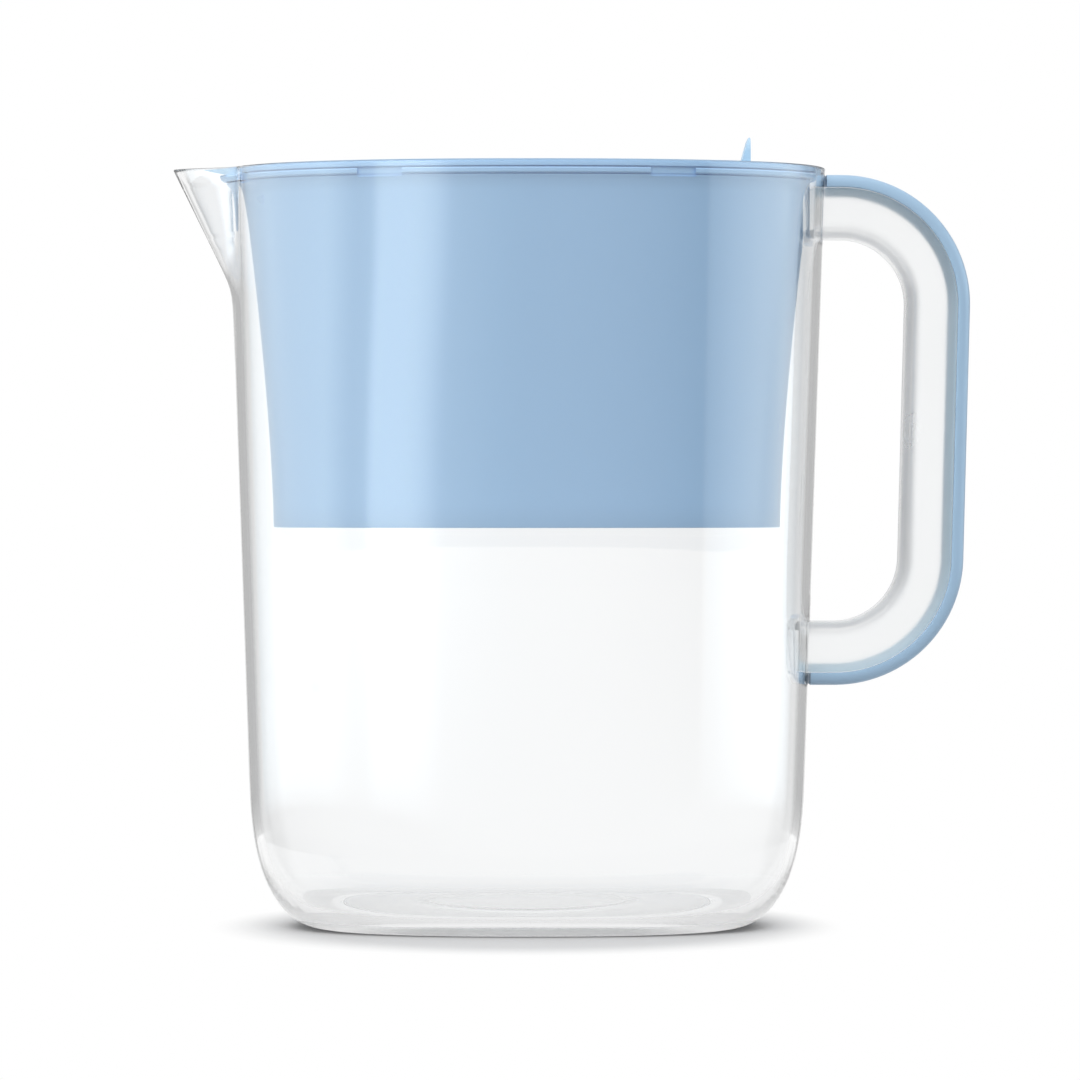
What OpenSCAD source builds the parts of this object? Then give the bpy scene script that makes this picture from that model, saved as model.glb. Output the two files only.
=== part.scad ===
// Water filter pitcher with a flip lid: a clear pitcher, a lift-out reservoir with a drop-in
// filter, and a lid with a hinged fill door. X runs from the spout (-) to the handle (+), Z is
// up, and the origin is on the body's axis at the resting plane. Millimetres.

/* [Pitcher body] */
// Height of the rim above the resting plane
rim_z = 254; // [248:1:262]
// Length of the walls where they meet the resting plane, before rounding
body_len = 183.1; // [176:0.1:192]
// Width of the walls where they meet the resting plane, before rounding
body_w = 124; // [118:0.5:132]
// Outward lean of every wall, in degrees
draft = 1.93; // [1.5:0.01:2.4]
// Fullness of every plan: 2 is an ellipse, more is squarer
plan_power = 2.4; // [2.2:0.05:2.8]
// The same for the rim's spout end
spout_power = 2.2; // [2:0.05:2.4]
// Wall thickness
wall_t = 2.6; // [2.2:0.1:3]

/* [Bottom] */
// Height over which the two ends curve in to the foot
end_round_h = 50; // [40:1:60]
// How far each end curves in
end_round_in = 25; // [18:1:30]
// Height over which the two long sides curve in to the foot
side_round_h = 28; // [20:1:34]
// How far each long side curves in
side_round_in = 11; // [8:0.5:13]
// Fullness of the bottom curve: 2 is an ellipse, more is squarer
round_power = 2.5; // [2:0.1:3]
// Width of the foot that the pitcher stands on
foot_w = 5; // [4:0.5:8]
// Clearance under the floor inside the foot
foot_h = 1.6; // [1.2:0.1:2.2]
// Floor thickness
floor_t = 3; // [2.4:0.1:3.4]
// Radius of the raised disc in the middle of the floor
floor_disc_r = 34; // [28:1:40]
// Height of that disc
floor_disc_h = 1.4; // [1:0.1:1.8]

/* [Spout] */
// How far the lip stands out from the wall
spout_reach = 18.7; // [16:0.1:21]
// Height at which the spout's straight slope meets the wall line
spout_z = 213.5; // [208:0.5:218]
// Half of the spout's width
spout_half_w = 22; // [20:0.5:24]
// Softness of the bend from wall to spout
spout_soft = 4; // [2:0.5:6]

/* [Handle] */
// Height of the handle's top face
handle_top = 251.8; // [250.8:0.1:252.4]
// Height of the handle's bottom face
handle_bottom = 81.3; // [76:0.1:90]
// Radius of the handle's two outer bends
handle_r = 43; // [38:0.5:46]
// Distance from the axis to the centre of the upper bend
handle_top_x = 105.2; // [102:0.1:110]
// Distance from the axis to the centre of the lower bend
handle_bottom_x = 103; // [100:0.1:108]
// Width of the handle
handle_w = 25; // [22:0.5:28]
// Depth of the handle from back to front, grip and shell together
handle_d = 21.2; // [19:0.1:23]
// Thickness of the coloured grip strip
grip_t = 4.2; // [3.4:0.1:5]
// Wall thickness of the handle's channel
channel_t = 3; // [2.4:0.1:3.4]
// Depth that each handle end is seated in its socket
socket_d = 3.6; // [3.2:0.1:4]

/* [Reservoir] */
// Height of the reservoir's lower edge
skirt_z = 134; // [128:1:140]
// Length of the reservoir at that edge
res_len = 170; // [166:0.5:172]
// How far each end flares out towards the flange
res_flare = 10.3; // [9.6:0.1:10.6]
// Wall thickness of the reservoir
res_t = 2.2; // [1.8:0.1:2.4]
// Height of the funnel floor beside the wall
funnel_z = 183; // [181:0.5:188]
// Height of the funnel floor at the filter socket
funnel_low_z = 175.5; // [174:0.5:177]
// Thickness of the flange that hangs in the pitcher
flange_t = 1.8; // [1.6:0.1:2]
// Gap between the flange and the pitcher's wall
rim_gap = 0.5; // [0.4:0.05:0.7]
// Depth of the dent that clears the handle's upper socket
dent_in = 2.6; // [2.4:0.1:3.6]

/* [Lid and door] */
// Thickness of the lid plate and of the door
lid_t = 2.4; // [2.2:0.1:2.6]
// How far the lid's nose reaches over the spout
nose_reach = 11.2; // [9:0.1:11.4]
// Half of that nose's width
nose_half_w = 16; // [14:0.5:17]
// Position of the door's hinge along the lid
hinge_x = -14; // [-20:0.5:-12]
// Position of the door's free edge along the lid
door_end_x = 80; // [79:0.5:82]
// Half of the door's width
door_half_w = 44; // [42:0.5:46]
// Corner radius of the door's free end
door_r = 28; // [16:1:34]
// Diameter of the hinge rod
rod_d = 2.4; // [2:0.1:2.6]
// Height of the thumb tab above the door
tab_h = 10.6; // [8:0.1:14]
// Width of the thumb tab
tab_w = 28; // [20:1:36]

/* [Filter] */
// Inner radius of the filter socket
sleeve_r = 29.45; // [29.4:0.01:29.5]
// Outer radius of the filter's shell
filter_r = 28.6; // [28.4:0.1:28.8]
// Height of the filter's collar
collar_t = 2.2; // [1.8:0.1:2.6]
// Number of slots round the cap
cap_slots = 10; // [6:1:14]
// Number of slot rows in the outlet grille
outlet_rows = 7; // [5:2:9]

/* [Hidden] */
$fn = 64;

// Pieces in each quarter of a plan, along its end and along its side, how much closer they are
// near the axis, and the share of the half width at which the end passes into the side
end_n = 11;
side_n = 7;
end_pack = 1.2;
end_share = 0.7;
// Rings along each rounded bottom
bottom_n = 8;

// Slope of the walls, and of the spout above its bend
wall_slope = tan(draft);
spout_slope = spout_reach / (rim_z - spout_z);
floor_z = foot_h + floor_t;

// Levels of the parts that sit in the rim, from the top down
lid_top = rim_z - 0.2;
flange_top = lid_top - lid_t;
flange_z = flange_top - flange_t;
// Height over which the reservoir's flare is measured
flare_h = flange_z - skirt_z;

// The handle's bends, and the planes on which its ends sit
bend_top_z = handle_top - handle_r;
bend_bottom_z = handle_bottom + handle_r;
handle_lean = atan((handle_top_x - handle_bottom_x) / (bend_top_z - bend_bottom_z));
socket_top_x = half_len(handle_top - handle_d / 2) - socket_d;
socket_bottom_x = half_len(handle_bottom + handle_d / 2) - socket_d;
// Wall behind and beside each socket, and the play round the bonded handle end
socket_t = 2.2;
socket_cut = 4;
socket_round = 4;
socket_play = 0.05;
block_half_w = handle_w / 2 + socket_t;

// Heights between which the dent grows, and the half widths between which it fades
dent_low_z = 215;
dent_full_z = 226;
dent_half_w = block_half_w + 2.5;
dent_fade_w = dent_half_w + 7;

// Ledges on the pitcher's walls that carry the flange
ledge_x = 15;
ledge_len = 12;
ledge_in = 1.7;
ledge_h = 3;

// Upright rim of the reservoir round the lid: its step from the flange's edge, its edge rounding
// and the lid's gap inside it
rim_step = 0.4;
rim_edge = 0.4;
lid_gap = 0.4;
lid_in = rim_step + res_t + lid_gap;

// Recesses in the flange's long edges
recess_x = 47.6;
recess_len = 14.6;
recess_in = 1.2;
recess_up = 0.35;

// Drain notches in the flange beside the spout, and the way they face
drain_y = 22;
drain_a = 21.6;
drain_w = 8;
drain_in = 1.2;

// Lugs in the reservoir's mouth that locate the lid by slots in its skirt
lug_x = 16;
lug_w = 8;
lug_in = 2.2;
lug_h = 5.5;
lug_play = 0.5;

// Hinge: axis height, knuckle radius, and the reliefs round it
hinge_r = 2.8;
hinge_z = lid_top - hinge_r;
hinge_back = 4.2;
hinge_front = 4;
rod_play = 0.04;
knuckle_gap = 0.4;
end_knuckle = 6;
mid_knuckle = 10;
door_gap = 0.5;
// Ledge that the door rests on, and the rib under the door
rest_w = 2.6;
rest_t = 1.5;
rib_t = 1.2;
rib_h = 2.5;
rib_in = 3.4;
// Skirt under the lid that fits in the reservoir's mouth
lid_skirt_h = 5;
lid_skirt_t = 1.6;
lid_skirt_gap = 0.4;

// Thumb tab: place of its upright face, and its thickness at foot and tip
tab_x = 74.7;
tab_foot = 3.6;
tab_tip = 0.8;

// Filter socket
sleeve_t = 3.2;
sleeve_top = funnel_low_z + 1;
sleeve_z = skirt_z + 3;
sleeve_lip = 5;
sleeve_lip_t = 2.2;
funnel_r = 34;
gusset_t = 2;
gusset_len = 16;
gusset_h = 22;

// Filter cartridge
bore_r = 24.8;
filter_z = sleeve_z + sleeve_lip_t + 0.7;
base_t = 2.2;
head_r = 27.6;
head_z = sleeve_top + 20.5;
collar_r = 33.5;
seal_h = 2.6;
seal_z = sleeve_top - 6.6;
groove_r = 26.8;
seal_gap = 0.05;
screen_t = 0.8;
cap_t = 1.6;
cap_skirt_h = 9;
cap_rise = 8.6;
fin_w = 24;
fin_t = 2.6;
fin_h = 13;
fin_bead_r = 2.4;
eps = 0.01;

// ---- Functions: wall lines, plans and rings ----

// Half length and half width of the outer wall at height z, and the power of its spout end
function half_len(z) = body_len / 2 + z * wall_slope;
function half_wid(z) = body_w / 2 + z * wall_slope;
function spout_end(z) = plan_power + (spout_power - plan_power) * ease(z, skirt_z, rim_z);

// Inward curve of a bottom that starts at z0, is h high and comes in by depth
function curve_in(z, z0, h, depth) =
    let (u = 1 - (z - z0) / h)
    u <= 0 ? 0 : depth * (1 - pow(1 - pow(min(u, 1), round_power), 1 / round_power));

// Heights of the rings on such a curve, closer together where it bends most
function curve_zs(z0, h) =
    [for (k = [0:bottom_n]) z0 + h * (1 - pow(cos(90 * k / bottom_n), 2 / round_power))];

// Reach of the spout beyond the wall at height z: a straight slope with a soft start
function spout_out(z) =
    let (t = z - spout_z)
    z < spout_z - 6 * spout_soft ? 0 : spout_slope * (t + sqrt(t * t + spout_soft * spout_soft)) / 2;

// Shape of spout and nose across the width, 1 on the axis and 0 at the half width
function bell(y, half_w) = abs(y) >= half_w ? 0 : pow(cos(90 * y / half_w), 2);

// Smooth step from 0 at a to 1 at b
function ease(x, a, b) = x <= a ? 0 : x >= b ? 1 : (1 - cos(180 * (x - a) / (b - a))) / 2;

// Quarter of a plan of half length and half width 1, from its end to its side, in m times the
// usual pieces
function quarter(p, m) =
    let (turn_x = pow(1 - pow(end_share, p), 1 / p))
    concat([for (k = [0:m * end_n - 1])
               let (v = end_share * pow(k / (m * end_n), end_pack))
               [pow(1 - pow(v, p), 1 / p), v]],
           [for (k = [0:m * side_n - 1])
               let (u = turn_x * (1 - k / (m * side_n)))
               [u, pow(1 - pow(u, p), 1 / p)]]);

// Plan of half length a and half width b, anticlockwise from the middle of the handle end
function plan(a, b, power = plan_power, m = 1) =
    let (q = quarter(plan_power, m),
         s = quarter(power, m))
    concat([for (p = q) [a * p.x, b * p.y]], [[0, b]],
           [for (k = [len(s) - 1:-1:1]) [-a * s[k].x, b * s[k].y]],
           [for (p = s) [-a * p.x, -b * p.y]], [[0, -b]],
           [for (k = [len(q) - 1:-1:1]) [a * q[k].x, -b * q[k].y]]);

// The same plan with its spout end pushed out and its handle end pushed in
function shaped(pts, nose, dent, half_w = spout_half_w) =
    [for (p = pts)
        p.x < 0 ? [p.x - nose * bell(p.y, half_w), p.y]
                : [p.x - dent * (1 - ease(abs(p.y), dent_half_w, dent_fade_w)), p.y]];

function at_z(pts, z) = [for (p = pts) [p.x, p.y, z]];
function circle_like(pts, r) = [for (p = pts) r * p / norm(p)];
function reverse(list) = [for (k = [len(list) - 1:-1:0]) list[k]];

// Ring of the pitcher at height z; the inner skin is thinner by the wall and has its own curve
function body_ring(z, inner = false) =
    let (t = inner ? wall_t : 0,
         z0 = inner ? floor_z : 0,
         in_x = curve_in(z, z0, end_round_h - z0, end_round_in - t),
         in_y = curve_in(z, z0, side_round_h - z0, side_round_in))
    at_z(shaped(plan(half_len(z) - t - in_x, half_wid(z) - t - in_y, spout_end(z)),
                spout_out(z), 0, spout_half_w - 0.75 * t), z);

// Space between the pitcher's inner wall and the reservoir at height z
function res_gap(z) =
    half_len(z) - wall_t - res_len / 2 - res_flare * pow((z - skirt_z) / flare_h, 1.5);

// Plan and ring of the reservoir at height z, set in by inset
function res_plan(z, inset) =
    let (s = wall_t + res_gap(z) + inset)
    shaped(plan(half_len(z) - s, half_wid(z) - s, spout_end(z)),
           0, dent_in * ease(z, dent_low_z, dent_full_z));
function res_ring(z, inset) = at_z(res_plan(z, inset), z);

// Outline at the rim: the pitcher's inner wall less the gap, set in by inset, with a nose over
// the spout
function rim_plan(nose, inset = 0, m = 1, half_w = spout_half_w) =
    let (s = wall_t + rim_gap + inset)
    shaped(plan(half_len(flange_z) - s, half_wid(flange_z) - s, spout_power, m), nose, 0, half_w);

// Stations along the handle: centre x, centre z, angle and outer radius
bend_n = 9;
function handle_stations(top_x, bottom_x) =
    concat([[top_x, bend_top_z, 90]],
           [for (k = [0:bend_n])
               [handle_top_x, bend_top_z, 90 - (90 + handle_lean) * k / bend_n]],
           [for (k = [0:bend_n])
               [handle_bottom_x, bend_bottom_z, -handle_lean - (90 - handle_lean) * k / bend_n]],
           [[bottom_x, bend_bottom_z, -90]]);

// Point at depth d under the handle's outer face and width y, at station s
function handle_point(s, d, y) =
    [s.x + (handle_r - d) * cos(s.z), y, s.y + (handle_r - d) * sin(s.z)];

// ---- Modules: general ----

// Skin through rings of equal point counts. Its ends are "flat" faces, "fan" faces round a middle
// point on the axis, "strip" faces from the first half of a ring's points across to the second
// half, or "joined" to each other.
module loft(rings, ends = "flat") {
    n = len(rings[0]);
    m = len(rings);
    last = ends == "joined" ? m - 1 : m - 2;
    sides = [for (k = [0:last], i = [0:n - 1])
        let (a = k * n + i,
             b = (k + 1) % m * n + i,
             c = (k + 1) % m * n + (i + 1) % n,
             d = k * n + (i + 1) % n)
        each [[a, b, c], [a, c, d]]];
    low = ends == "flat" ? [[for (i = [0:n - 1]) i]]
        : ends == "fan" ? [for (i = [0:n - 1]) [i, (i + 1) % n, m * n]]
        : ends == "strip" ? [for (i = [0:n / 2 - 2]) [i, i + 1, n - 2 - i, n - 1 - i]]
        : [];
    // The upper end is the lower one moved to the last ring and turned over
    top = [for (f = low) reverse([for (i = f) i == m * n ? i + 1 : i + (m - 1) * n])];
    middles = ends == "fan" ? [[0, 0, rings[0][0].z], [0, 0, rings[m - 1][0].z]] : [];
    polyhedron(points = concat([for (r = rings) each r], middles),
               faces = concat(sides, low, top), convexity = 10);
}

// Section swept along the handle; the section holds [depth, width] points
module sweep_handle(section, top_x, bottom_x, ends) {
    loft([for (s = handle_stations(top_x, bottom_x)) [for (p = section) handle_point(s, p.x, p.y)]],
         ends);
}

// Rounded rectangle centred on the origin
module rounded(a, b, r) {
    square([2 * a, 2 * (b - r)], center = true);
    square([2 * (a - r), 2 * b], center = true);
    for (x = [-1, 1], y = [-1, 1])
        translate([x * (a - r), y * (b - r)]) circle(r);
}

// Door outline, grown by g on its three free sides
module door_outline(g, start = 0) {
    x0 = hinge_x + start;
    far = door_end_x + g;
    wide = door_half_w + g;
    r = door_r + g;
    translate([x0, -wide]) square([far - r - x0, 2 * wide]);
    translate([x0, r - wide]) square([far - x0, 2 * (wide - r)]);
    for (y = [-1, 1])
        translate([far - r, y * (wide - r)]) circle(r);
}

// ---- Pitcher ----

// Clear wall, floor and spout as one skin
module pitcher_skin() {
    straight = [134, 188, 197, 204, 210, 216, 224, 236, rim_z];
    outer_z = concat(curve_zs(0, end_round_h), straight);
    inner_z = concat(curve_zs(floor_z, end_round_h - floor_z), straight);
    loft(concat([for (z = outer_z) body_ring(z)],
                [for (z = reverse(inner_z)) body_ring(z, true)]),
         ends = "fan");
}

// Block inside the wall that holds a handle end. Its flat edge, away from the handle's loop, is cut
// off at the inner corner, and its other edge is rounded there.
module socket_block(x, flat_z, round_z, cut) {
    in_x = x - socket_t;
    out_x = half_len(min(flat_z, round_z)) - wall_t / 2;
    s = sign(round_z - flat_z);
    r = socket_round;
    rotate([90, 0, 0])
        linear_extrude(2 * block_half_w, center = true)
            polygon(concat([[out_x, round_z], [out_x, flat_z], [in_x + cut, flat_z]],
                           cut > 0 ? [[in_x, flat_z + s * cut]] : [],
                           [for (k = [0:6])
                               [in_x + r * (1 - cos(15 * k)), round_z - s * r * (1 - sin(15 * k))]]));
}

// Pocket that a handle end is bonded into
module socket_pocket(x, low, high) {
    half_h = (high - low) / 2 + socket_play;
    translate([x, 0, (low + high) / 2])
        rotate([0, 90, 0])
            linear_extrude(3 * socket_d)
                rounded(half_h, handle_w / 2 + socket_play, 0.6);
}

module pitcher_body() color([0.93, 0.96, 0.98, 0.35])
    difference() {
        union() {
            pitcher_skin();
            translate([0, 0, floor_z - 1])
                cylinder(h = 1 + floor_disc_h, r1 = floor_disc_r + 1.4, r2 = floor_disc_r);
            socket_block(socket_top_x, flange_z, handle_top - handle_d - socket_t, 0);
            socket_block(socket_bottom_x, handle_bottom - 0.4, handle_bottom + handle_d + socket_t,
                         socket_cut);
            for (x = [-1, 1], y = [-1, 1])
                translate([x * ledge_x, y * (half_wid(flange_z) - wall_t), flange_z])
                    wall_ledge(y);
        }
        translate([0, 0, -1])
            linear_extrude(1 + foot_h)
                polygon(plan(half_len(0) - end_round_in - foot_w,
                             half_wid(0) - side_round_in - foot_w));
        translate([0, 0, -1])
            cylinder(h = 1 + foot_h + floor_disc_h, r = floor_disc_r);
        socket_pocket(socket_top_x, handle_top - handle_d, handle_top - grip_t);
        socket_pocket(socket_bottom_x, handle_bottom + grip_t, handle_bottom + handle_d);
    }

// Ledge with a sloped underside, its flat top at z = 0 and its back in the wall
module wall_ledge(side) {
    translate([-ledge_len / 2, 0, 0])
        rotate([90, 0, 90])
            linear_extrude(ledge_len)
                polygon([[side, 0], [-side * ledge_in, 0], [-side * ledge_in, -1], [side, -ledge_h]]);
}

// ---- Handle ----

// Quarter round of a section corner: centre, radius and start angle
function nook(d, y, r, a0, steps = 3) =
    [for (k = [0:steps]) [d + r * cos(a0 + 90 * k / steps), y + r * sin(a0 + 90 * k / steps)]];

// Channel open to the back: its outside with round front corners, then its inside
module handle_shell() color([0.93, 0.96, 0.98, 0.35]) {
    w = handle_w / 2;
    r = 6;
    ri = 3.4;
    chamfer = 0.5;
    inner_w = w - channel_t;
    inner_d = handle_d - channel_t;
    outside = concat([[grip_t, chamfer - w], [grip_t + chamfer, -w]],
                     nook(handle_d - r, r - w, r, 270), nook(handle_d - r, w - r, r, 0),
                     [[grip_t + chamfer, w], [grip_t, w - chamfer]]);
    inside = concat([[grip_t, -inner_w], [grip_t + chamfer, -inner_w]],
                    nook(inner_d - ri, ri - inner_w, ri, 270), nook(inner_d - ri, inner_w - ri, ri, 0),
                    [[grip_t + chamfer, inner_w], [grip_t, inner_w]]);
    sweep_handle(concat(outside, reverse(inside)), socket_top_x, socket_bottom_x, "strip");
}

// Strip that closes the channel, with a tongue between the channel's walls
module handle_grip() color([0.64, 0.78, 0.88]) {
    w = handle_w / 2;
    r = 3;
    chamfer = 0.4;
    tongue_w = w - channel_t - 0.2;
    tongue_d = grip_t + 3.4;
    section = concat(nook(r, w - r, r, 90), nook(r, r - w, r, 180),
                     [[grip_t - chamfer, -w], [grip_t, chamfer - w], [grip_t, -tongue_w],
                      [tongue_d, -tongue_w], [tongue_d, tongue_w], [grip_t, tongue_w],
                      [grip_t, w - chamfer], [grip_t - chamfer, w]]);
    sweep_handle(section, half_len(handle_top) + 0.2, half_len(handle_bottom + grip_t) + 0.4,
                 "flat");
}

// ---- Reservoir ----

module reservoir() color([0.68, 0.82, 0.93])
    difference() {
        union() {
            reservoir_skin();
            filter_sleeve();
            for (a = [45:90:315]) rotate(a) gusset();
            for (x = [-1, 1], y = [-1, 1])
                translate([x * lug_x, y * half_wid(flange_z), flange_z]) lid_lug(y);
        }
        flange_recesses();
        flange_drains();
        translate([-half_len(rim_z), -spout_half_w, flange_top])
            cube([2 * spout_half_w, 2 * spout_half_w, 2 * lid_t]);
    }

// Bowl, upright rim, flange, funnel floor and lower skirt as one skin round the filter socket
module reservoir_skin() {
    under = 2.4;
    side_z = [skirt_z, 152, 170, 186, 200, dent_low_z, 218, 221, 224, dent_full_z, 238, flange_z];
    bowl_z = [flange_top, 238, dent_full_z, 224, 221, 218, dent_low_z, 200, funnel_z + 3];
    // Steps in from the flange's edge and heights of the rim's corners
    rim_line = [[0, flange_top], [0, lid_top - rim_edge], [rim_edge, lid_top],
                [res_t - rim_edge, lid_top], [res_t, lid_top - rim_edge], [res_t, flange_top]];
    loft(concat([for (z = side_z) res_ring(z, 0)],
                [at_z(rim_plan(4), flange_z), at_z(rim_plan(5), flange_top)],
                [for (p = rim_line) at_z(rim_plan(0, rim_step + p.x), p.y)],
                [for (z = bowl_z) res_ring(min(z, flange_top), res_t)],
                [at_z(res_plan(funnel_z, res_t + 3), funnel_z),
                 at_z(circle_like(res_plan(funnel_z, 0), funnel_r), funnel_low_z),
                 at_z(circle_like(res_plan(funnel_z, 0), funnel_r), funnel_low_z - under)],
                [for (z = [funnel_z - under, 170, 152, skirt_z]) res_ring(z, res_t)]),
         ends = "joined");
}

// Lug inside the mouth, with a sloped underside; z = 0 is its top
module lid_lug(side) {
    back = wall_t + res_gap(flange_z) + res_t - 0.5;
    face = back + 0.5 + lug_in;
    translate([-lug_w / 2, 0, 0])
        rotate([90, 0, 90])
            linear_extrude(lug_w)
                polygon([[-side * back, -0.6], [-side * face, -0.6], [-side * face, 2.2 - lug_h],
                         [-side * (face - 0.8), -lug_h], [-side * back, -lug_h]]);
}

// Shallow recesses along the curve of the flange's edge
module flange_recesses()
    translate([0, 0, flange_z - 1])
        linear_extrude(1 + flange_t + recess_up)
            difference() {
                for (x = [-1, 1])
                    translate([x * recess_x, 0]) square([recess_len, 2 * body_w], center = true);
                polygon(rim_plan(0, recess_in));
            }

module flange_drains() {
    s = wall_t + rim_gap;
    share = drain_y / (half_wid(flange_z) - s);
    drain_x = (s - half_len(flange_z)) * pow(1 - pow(share, spout_power), 1 / spout_power);
    for (y = [-1, 1])
        translate([drain_x, y * drain_y, flange_z - 1])
            rotate(180 - y * drain_a)
                translate([-drain_in, -drain_w / 2, 0])
                    cube([2 * drain_in, drain_w, 1 + flange_t + recess_up]);
}

// Socket that the filter drops into: a sleeve with a lip at its foot
module filter_sleeve() {
    out_r = sleeve_r + sleeve_t;
    rotate_extrude()
        polygon([[sleeve_r, sleeve_top], [funnel_r + 2, sleeve_top], [funnel_r + 2, sleeve_top - 4],
                 [out_r, sleeve_top - 8], [out_r, sleeve_z], [sleeve_r - sleeve_lip, sleeve_z],
                 [sleeve_r - sleeve_lip, sleeve_z + sleeve_lip_t],
                 [sleeve_r, sleeve_z + sleeve_lip_t]]);
}

// Web between the socket and the underside of the funnel floor
module gusset() {
    r0 = sleeve_r + sleeve_t - 1;
    top = funnel_low_z - 1;
    translate([0, gusset_t / 2, 0])
        rotate([90, 0, 0])
            linear_extrude(gusset_t)
                polygon([[r0, top], [r0 + gusset_len, top], [r0, top - gusset_h]]);
}

// ---- Lid ----

module lid_frame() color([0.70, 0.84, 0.94])
    difference() {
        union() {
            difference() {
                lid_plate();
                translate([0, 0, flange_top - 1]) linear_extrude(lid_t + 2) lid_hole();
            }
            lid_skirt();
            door_rest();
            for (y = [-1, 1])
                knuckle(y * (door_half_w - end_knuckle / 2), end_knuckle);
            knuckle(0, mid_knuckle);
        }
        rod_bore();
    }

// Flat plate with a nose whose underside rises to a thin lip
module lid_plate() {
    nose_root = half_len(flange_z) - wall_t - rim_gap;
    lip = 0.5;
    difference() {
        translate([0, 0, flange_top])
            linear_extrude(lid_t) polygon(rim_plan(nose_reach + lid_in, lid_in, 2, nose_half_w));
        rotate([90, 0, 0])
            linear_extrude(2 * spout_half_w, center = true)
                polygon([[-nose_root - 2, flange_top], [-nose_root - nose_reach - 1, lid_top - lip],
                         [-nose_root - nose_reach - 1, flange_top - 1],
                         [-nose_root - 2, flange_top - 1]]);
    }
}

// Fill opening with room for the door and its hinge
module lid_hole() {
    door_outline(door_gap);
    translate([hinge_x - hinge_back, -door_half_w - door_gap])
        square([hinge_back + 1, 2 * (door_half_w + door_gap)]);
}

// Skirt that fits in the reservoir's mouth, slotted over its four lugs
module lid_skirt() {
    low = flange_top - lid_skirt_h;
    difference() {
        translate([0, 0, low])
            linear_extrude(lid_skirt_h + 0.5)
                difference() {
                    polygon(res_plan(low, res_t + lid_skirt_gap));
                    polygon(res_plan(low, res_t + lid_skirt_gap + lid_skirt_t));
                }
        for (x = [-1, 1])
            translate([x * lug_x, 0, low])
                cube([lug_w + 2 * lug_play, body_w + 20, 2 * (flange_z - low)], center = true);
    }
}

// Ledge under the door's free edges, hung from the plate round the opening
module door_rest() {
    start = hinge_front + 2;
    translate([0, 0, flange_top - rest_t])
        difference() {
            linear_extrude(rest_t) door_outline(2, start);
            translate([0, 0, -1]) linear_extrude(rest_t + 2) door_outline(-rest_w, start - 1);
        }
    translate([0, 0, flange_top - eps])
        linear_extrude(lid_t / 2)
            difference() {
                door_outline(2, start);
                door_outline(door_gap, start - 1);
            }
}

// Hinge knuckle of the lid, on a web from the plate behind it
module knuckle(y, len) {
    translate([hinge_x, y, hinge_z]) rotate([90, 0, 0]) cylinder(h = len, r = hinge_r, center = true);
    translate([hinge_x - hinge_back - 1, y - len / 2, flange_top])
        cube([hinge_back + 1, len, lid_t]);
}

// Bore along the hinge axis
module rod_bore() {
    translate([hinge_x, 0, hinge_z])
        rotate([90, 0, 0])
            cylinder(h = 2 * door_half_w + 4, d = rod_d + 2 * rod_play, center = true);
}

module hinge_rod() color([0.78, 0.80, 0.82])
    translate([hinge_x, 0, hinge_z])
        rotate([90, 0, 0]) cylinder(h = 2 * door_half_w - 1, d = rod_d, center = true);

// ---- Door ----

module flip_door() color([0.74, 0.86, 0.95])
    difference() {
        union() {
            translate([0, 0, flange_top])
                linear_extrude(lid_t)
                    difference() {
                        door_outline(0);
                        door_notches();
                    }
            door_barrels();
            door_rib();
            thumb_tab();
        }
        rod_bore();
    }

// Cut-outs of the door round the lid's knuckles
module door_notches() {
    far = door_half_w - end_knuckle - knuckle_gap;
    for (y = [-1, 1])
        translate([hinge_x, y * (far + door_half_w + 1) / 2])
            square([2 * hinge_front, door_half_w + 1 - far], center = true);
    translate([hinge_x, 0])
        square([2 * hinge_front, mid_knuckle + 2 * knuckle_gap], center = true);
}

// Two barrels between the lid's knuckles
module door_barrels() {
    from = mid_knuckle / 2 + knuckle_gap;
    to = door_half_w - end_knuckle - knuckle_gap;
    for (y = [-1, 1])
        translate([hinge_x, y * (from + to) / 2, hinge_z])
            rotate([90, 0, 0]) cylinder(h = to - from, r = hinge_r, center = true);
}

// Stiffening rib under the door, inside the ledge that it rests on
module door_rib() {
    start = hinge_front + 2;
    translate([0, 0, flange_top - rib_h])
        linear_extrude(rib_h + 0.5)
            difference() {
                door_outline(-rib_in, start);
                door_outline(-rib_in - rib_t, start + rib_t);
            }
}

// Upright tab that the thumb lifts, tapered to its tip and rounded at its ends
module thumb_tab() {
    r = 5;
    intersection() {
        rotate([90, 0, 0])
            linear_extrude(tab_w, center = true)
                polygon([[tab_x, lid_top - 1], [tab_x, lid_top + tab_h - 0.5],
                         [tab_x - tab_tip / 2, lid_top + tab_h],
                         [tab_x - tab_tip, lid_top + tab_h - 0.4],
                         [tab_x - tab_foot, lid_top], [tab_x - tab_foot, lid_top - 1]]);
        translate([tab_x - 2 * tab_foot, 0, 0])
            rotate([90, 0, 90])
                linear_extrude(4 * tab_foot) {
                    translate([-tab_w / 2, lid_top - 2]) square([tab_w, tab_h + 2 - r]);
                    translate([r - tab_w / 2, lid_top]) square([tab_w - 2 * r, tab_h]);
                    for (y = [-1, 1])
                        translate([y * (tab_w / 2 - r), lid_top + tab_h - r]) circle(r);
                }
    }
}

// ---- Filter ----

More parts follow.
